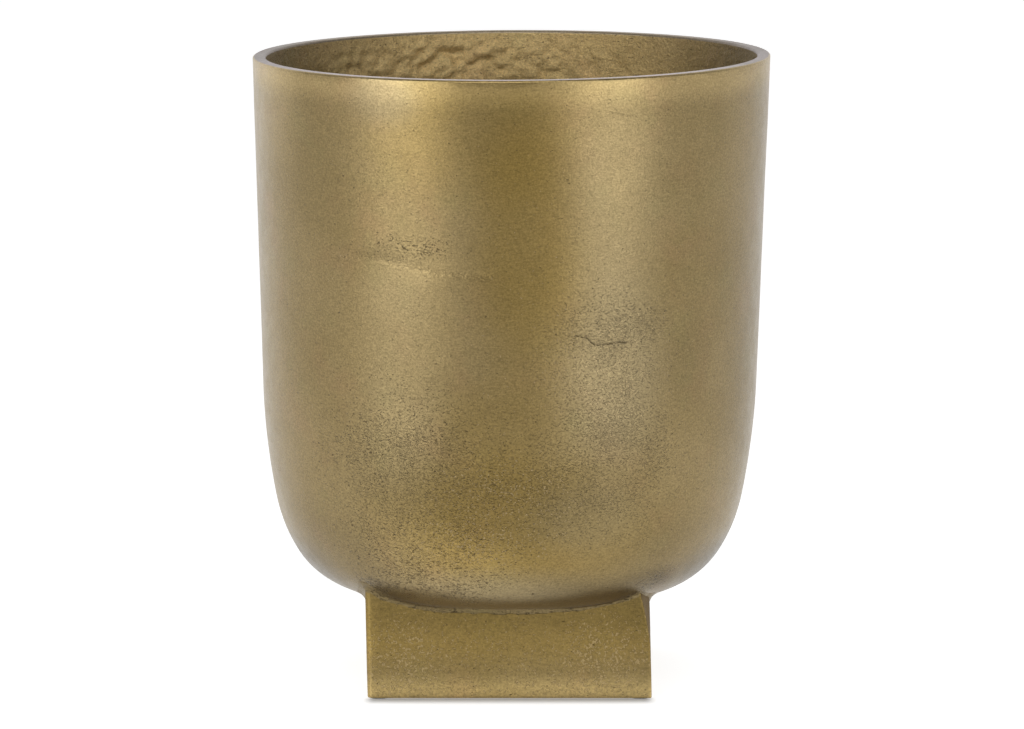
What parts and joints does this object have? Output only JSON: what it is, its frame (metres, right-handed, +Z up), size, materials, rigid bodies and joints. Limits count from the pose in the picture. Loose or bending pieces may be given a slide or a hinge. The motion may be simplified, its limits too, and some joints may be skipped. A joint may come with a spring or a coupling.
{
  "type": "planter pot",
  "caption": "Round cast-brass planter pot: gently tapered open vessel with a big rounded base corner, on a square hollow pedestal foot with felt pads.",
  "frame": {"origin": "on the surface the pot stands on, under its middle, level with the undersides of the felt pads", "axes": "+Z up through the pot's round axis; X and Y square to the foot's four faces, with -Y the front"},
  "size_m": [0.2099, 0.21, 0.2545],
  "materials": {
    "cast_brass": "antique satin, sand-cast with fine pits",
    "foot_brass": "antique satin, ground edges",
    "weld_brass": "rough, dark pitted bead",
    "grey_felt": "pressed wool felt"
  },
  "bodies": {
    "root": {"bowl": "cast_brass", "foot": "foot_brass", "foot_weld": "weld_brass", "felt_pads": "grey_felt"}
  },
  "joints": []
}
